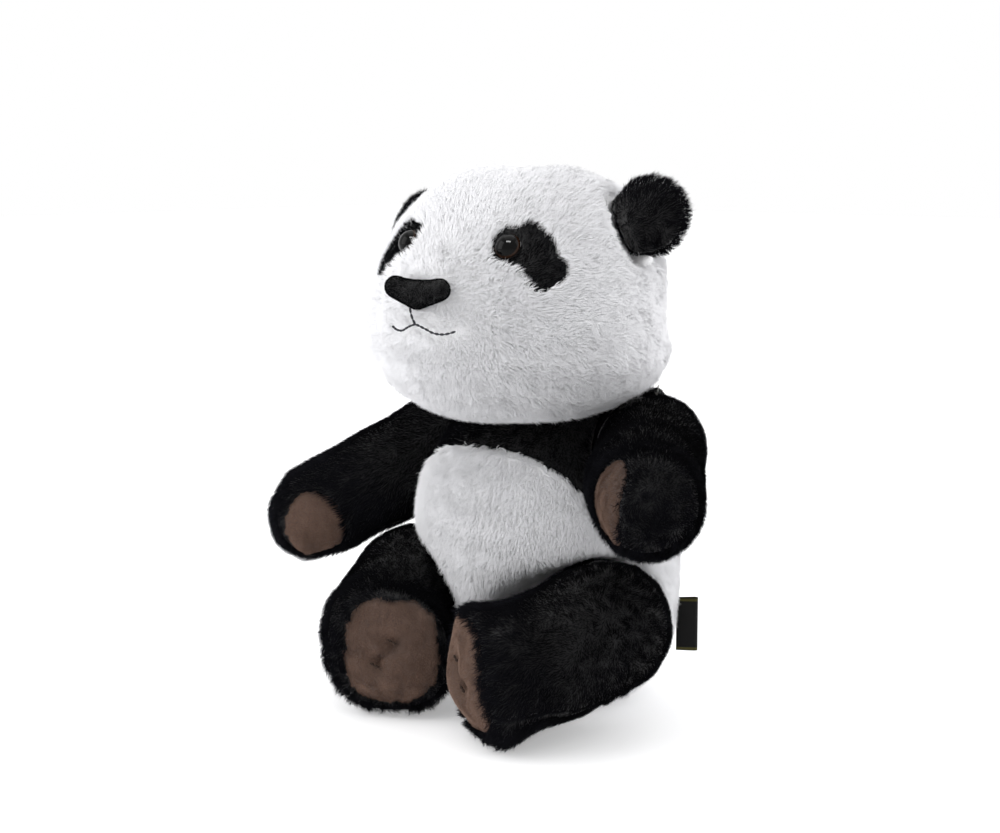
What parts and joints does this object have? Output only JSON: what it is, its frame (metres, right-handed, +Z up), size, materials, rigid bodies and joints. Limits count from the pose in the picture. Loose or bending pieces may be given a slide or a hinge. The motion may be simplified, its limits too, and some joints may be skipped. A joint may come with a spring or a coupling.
{
  "type": "plush panda",
  "caption": "Stuffed panda toy that sits upright, with a turning head and sewn arms, legs and ears that swing a little.",
  "frame": {"origin": "centre of the flat seat on the body's axis", "axes": "+Z up, the toy faces -Y, its left side is +X"},
  "size_m": [0.27, 0.175, 0.2624],
  "materials": {
    "white_plush": "long soft pile, matt",
    "black_plush": "long soft pile, slight sheen",
    "stuffing": "loose polyester fibre",
    "washer_plastic": "moulded",
    "eye_plastic": "polished, dark pupil with a brown rim",
    "nose_velour": "short pile",
    "mouth_thread": "stitched thread",
    "sole_thread": "stitched thread",
    "ribbon": "woven, olive edges",
    "brown_velour": "short pile",
    "black_thread": "stitched thread"
  },
  "bodies": {
    "torso": {"belly_panel": "white_plush", "back_panel_left": "white_plush", "back_panel_right": "white_plush", "base_panel": "white_plush", "yoke_front": "black_plush", "yoke_back": "black_plush", "body_stuffing": "stuffing", "tail": "white_plush", "side_label": "ribbon"},
    "head": {"head_gusset": "white_plush", "head_side_left": "white_plush", "head_side_right": "white_plush", "muzzle_panel": "white_plush", "chin_panel": "white_plush", "head_stuffing": "stuffing", "eye_patch_left": "black_plush", "eye_patch_right": "black_plush", "eye_left": "eye_plastic", "eye_right": "eye_plastic", "eye_washer_left": "washer_plastic", "eye_washer_right": "washer_plastic", "nose": "nose_velour", "mouth_stitch": "mouth_thread", "neck_seam": "white_plush"},
    "ear_left": {"ear_left": "black_plush", "ear_left_wadding": "stuffing", "ear_left_seam": "black_thread"},
    "arm_left": {"arm_left": "black_plush", "paw_pad_left": "brown_velour", "arm_left_stuffing": "stuffing", "shoulder_seam_left": "black_thread"},
    "leg_left": {"leg_left_top": "black_plush", "leg_left_under": "black_plush", "sole_left": "brown_velour", "leg_left_stuffing": "stuffing", "hip_seam_left": "black_thread", "toe_stitches_left": "sole_thread"},
    "ear_right": {"ear_right": "black_plush", "ear_right_wadding": "stuffing", "ear_right_seam": "black_thread"},
    "arm_right": {"arm_right": "black_plush", "paw_pad_right": "brown_velour", "arm_right_stuffing": "stuffing", "shoulder_seam_right": "black_thread"},
    "leg_right": {"leg_right_top": "black_plush", "leg_right_under": "black_plush", "sole_right": "brown_velour", "leg_right_stuffing": "stuffing", "hip_seam_right": "black_thread", "toe_stitches_right": "sole_thread"}
  },
  "joints": [
    {"name": "neck_turn", "type": "hinge", "parent": "torso", "child": "head", "pos_m": [0, -0.01, 0.1555], "axis": [0, -0.1822, 0.9833], "range_deg": [-35, 35]},
    {"name": "left_shoulder_swing", "type": "hinge", "parent": "torso", "child": "arm_left", "pos_m": [0.058, 0.006, 0.131], "axis": [-1, 0, 0], "range_deg": [-30, 7]},
    {"name": "right_shoulder_swing", "type": "hinge", "parent": "torso", "child": "arm_right", "pos_m": [-0.058, 0.006, 0.131], "axis": [-1, 0, 0], "range_deg": [-1, 36]},
    {"name": "left_hip_swing", "type": "hinge", "parent": "torso", "child": "leg_left", "pos_m": [0.061, -0.034, 0.051], "axis": [-1, 0, 0], "range_deg": [0, 20]},
    {"name": "right_hip_swing", "type": "hinge", "parent": "torso", "child": "leg_right", "pos_m": [-0.061, -0.034, 0.051], "axis": [-1, 0, 0], "range_deg": [0, 20]},
    {"name": "left_ear_fold", "type": "hinge", "parent": "head", "child": "ear_left", "pos_m": [0.0595, -0.0105, 0.2345], "axis": [0.6476, 0.1494, -0.7472], "range_deg": [-15, 20]},
    {"name": "right_ear_fold", "type": "hinge", "parent": "head", "child": "ear_right", "pos_m": [-0.06465, -0.012, 0.22639], "axis": [0.5373, -0.1494, 0.8301], "range_deg": [-15, 20]}
  ]
}
